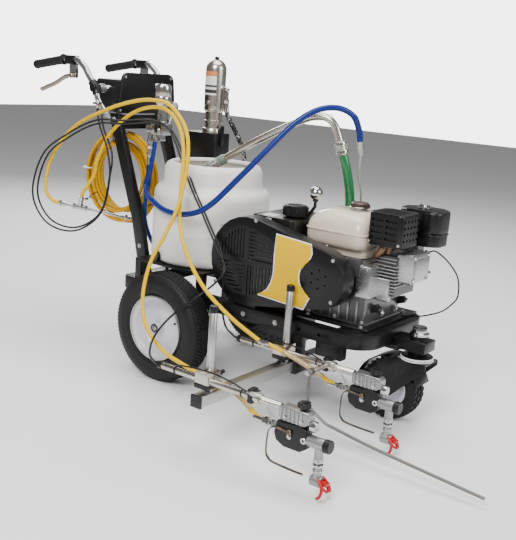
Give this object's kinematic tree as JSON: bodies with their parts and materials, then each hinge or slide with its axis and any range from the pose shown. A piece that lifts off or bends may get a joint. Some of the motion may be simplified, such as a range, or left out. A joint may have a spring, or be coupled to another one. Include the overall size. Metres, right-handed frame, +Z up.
{
  "type": "line striping machine",
  "caption": "Walk-behind line striping machine with paint hopper, pump, petrol engine, side gun carrier and folding pointer.",
  "frame": {"origin": "on the ground, under the middle of the machine without its free hoses", "axes": "+X forward, +Y to the machine's left, +Z up"},
  "size_m": [2.1886, 1.085, 1.174],
  "materials": {
    "black_coat": "satin powder coat",
    "dark_bronze": "satin",
    "tyre": "moulded rubber",
    "rubber": "matt rubber",
    "rim_paint": "gloss paint",
    "milky_plastic": "milky translucent plastic",
    "stainless": "brushed",
    "chrome": "bright plating",
    "cast_aluminium": "as cast",
    "cream_paint": "gloss paint",
    "yellow_paint": "gloss paint",
    "hose_yellow": "smooth hose jacket",
    "hose_blue": "smooth hose jacket",
    "hose_green": "smooth hose jacket",
    "champagne": "anodised",
    "red_plastic": "moulded",
    "black_plastic": "moulded"
  },
  "bodies": {
    "root": {"chassis_frame": "black_coat", "caster_bracket": "black_coat", "rear_axle": "stainless", "hopper_platform": "black_coat", "hopper": "milky_plastic", "engine_base": "black_coat", "engine_block": "cast_aluminium", "fuel_tank": "cream_paint", "muffler": "black_coat", "air_cleaner": "black_plastic", "belt_guard": "black_coat", "guard_panel": "yellow_paint", "drive_belt": "rubber", "oil_cooler": "black_coat", "reservoir": "dark_bronze", "pump_bracket": "black_coat", "pump_cylinder": "stainless", "uprights": "black_coat", "console": "black_plastic", "handlebar": "chrome", "grip_right": "black_plastic", "grip_left": "black_plastic", "filter_manifold": "chrome", "suction_tube": "stainless", "suction_hose": "hose_green", "pressure_pipe": "stainless", "tee_fitting": "stainless", "hose_coil": "hose_yellow", "carrier_bracket": "black_coat", "blue_hose": "hose_blue", "yellow_hose_outer": "hose_yellow", "yellow_hose_inner": "hose_yellow", "control_cable": "black_plastic"},
    "wheel_right": {"rear_rim_right": "rim_paint", "rear_tyre_right": "tyre"},
    "wheel_left": {"rear_rim_left": "rim_paint", "rear_tyre_left": "tyre"},
    "caster": {"caster_fork": "black_coat"},
    "caster_wheel": {"caster_rim": "rim_paint", "caster_tyre": "tyre"},
    "lever_right": {"hand_lever_right": "champagne"},
    "lever_left": {"hand_lever_left": "champagne"},
    "drain_valve": {"drain_valve_lever": "black_plastic"},
    "pump_valve": {"pump_valve_lever": "black_plastic"},
    "oil_cap": {"reservoir_cap": "black_plastic"},
    "petrol_cap": {"fuel_cap": "dark_bronze"},
    "pump_drive": {"pump_pulley": "cast_aluminium"},
    "engine_drive": {"engine_pulley": "cast_aluminium"},
    "carrier": {"carrier_bar": "chrome", "gun_whip_outer": "hose_yellow", "gun_whip_inner": "hose_yellow"},
    "arm_outer": {"gun_arm_outer": "stainless", "gun_outer": "cast_aluminium"},
    "arm_inner": {"gun_arm_inner": "stainless", "gun_inner": "cast_aluminium"},
    "trigger_outer_body": {"trigger_outer": "black_plastic"},
    "trigger_inner_body": {"trigger_inner": "black_plastic"},
    "tip_outer_body": {"tip_outer": "red_plastic"},
    "tip_inner_body": {"tip_inner": "red_plastic"},
    "pointer": {"pointer_rod": "stainless"}
  },
  "joints": [
    {"name": "wheel_right_spin", "type": "hinge", "parent": "root", "child": "wheel_right", "pos_m": [-0.21925, -0.135, 0.203], "axis": [0, 1, 0], "continuous": true},
    {"name": "wheel_left_spin", "type": "hinge", "parent": "root", "child": "wheel_left", "pos_m": [-0.21925, 0.49, 0.203], "axis": [0, 1, 0], "continuous": true},
    {"name": "caster_swivel", "type": "hinge", "parent": "root", "child": "caster", "pos_m": [0.65575, 0.1775, 0.25], "axis": [0, 0, 1], "continuous": true},
    {"name": "caster_wheel_spin", "type": "hinge", "parent": "caster", "child": "caster_wheel", "pos_m": [0.57575, 0.1775, 0.11], "axis": [0, 1, 0], "continuous": true},
    {"name": "lever_right_squeeze", "type": "hinge", "parent": "root", "child": "lever_right", "pos_m": [-0.87425, -0.0225, 1.07], "axis": [0, 1, 0], "range_deg": [0, 17], "stiffness_Nm_per_rad": 1.5, "springref_deg": -17.19},
    {"name": "lever_left_squeeze", "type": "hinge", "parent": "root", "child": "lever_left", "pos_m": [-0.87425, 0.3775, 1.07], "axis": [0, 1, 0], "range_deg": [0, 17], "stiffness_Nm_per_rad": 1.5, "springref_deg": -17.19},
    {"name": "drain_valve_turn", "type": "hinge", "parent": "root", "child": "drain_valve", "pos_m": [-0.50025, 0.0832, 0.885], "axis": [0, 1, 0], "range_deg": [0, 90]},
    {"name": "pump_valve_turn", "type": "hinge", "parent": "root", "child": "pump_valve", "pos_m": [-0.40325, 0.3675, 0.84], "axis": [1, 0, 0], "range_deg": [0, 90]},
    {"name": "oil_cap_turn", "type": "hinge", "parent": "root", "child": "oil_cap", "pos_m": [0.15675, 0.1175, 0.645], "axis": [0, 0, 1], "range_deg": [0, 180]},
    {"name": "petrol_cap_turn", "type": "hinge", "parent": "root", "child": "petrol_cap", "pos_m": [0.38075, 0.1775, 0.7], "axis": [0, 0, 1], "range_deg": [0, 90]},
    {"name": "pump_pulley_spin", "type": "hinge", "parent": "root", "child": "pump_drive", "pos_m": [0.07775, -0.02, 0.491], "axis": [0, 1, 0], "continuous": true},
    {"name": "engine_pulley_spin", "type": "hinge", "parent": "root", "child": "engine_drive", "pos_m": [0.37875, -0.02, 0.485], "axis": [0, 1, 0], "continuous": true},
    {"name": "gun_bar_slide", "type": "slide", "parent": "root", "child": "carrier", "axis": [0, -1, 0], "range_m": [0, 0.1]},
    {"name": "outer_gun_lift", "type": "slide", "parent": "carrier", "child": "arm_outer", "axis": [0, 0, 1], "range_m": [0, 0.12]},
    {"name": "inner_gun_lift", "type": "slide", "parent": "carrier", "child": "arm_inner", "axis": [0, 0, 1], "range_m": [0, 0.12]},
    {"name": "outer_trigger_pull", "type": "hinge", "parent": "arm_outer", "child": "trigger_outer_body", "pos_m": [0.62575, -0.5275, 0.155], "axis": [0, -1, 0], "range_deg": [0, 12], "stiffness_Nm_per_rad": 1, "springref_deg": -17.19},
    {"name": "inner_trigger_pull", "type": "hinge", "parent": "arm_inner", "child": "trigger_inner_body", "pos_m": [0.62575, -0.1275, 0.155], "axis": [0, -1, 0], "range_deg": [0, 12], "stiffness_Nm_per_rad": 1, "springref_deg": -17.19},
    {"name": "outer_tip_turn", "type": "hinge", "parent": "arm_outer", "child": "tip_outer_body", "pos_m": [0.73775, -0.5075, 0.05], "axis": [1, 0, 0], "range_deg": [0, 180]},
    {"name": "inner_tip_turn", "type": "hinge", "parent": "arm_inner", "child": "tip_inner_body", "pos_m": [0.73775, -0.1075, 0.05], "axis": [1, 0, 0], "range_deg": [0, 180]},
    {"name": "pointer_fold", "type": "hinge", "parent": "arm_inner", "child": "pointer", "pos_m": [0.48575, -0.2225, 0.235], "axis": [0, -1, 0], "range_deg": [0, 95]}
  ],
  "couplings": [
    {"joint": "engine_pulley_spin", "follows": "pump_pulley_spin", "ratio": 2.6667},
    {"joint": "outer_trigger_pull", "follows": "lever_right_squeeze", "ratio": 0.7},
    {"joint": "inner_trigger_pull", "follows": "lever_right_squeeze", "ratio": 0.7}
  ]
}
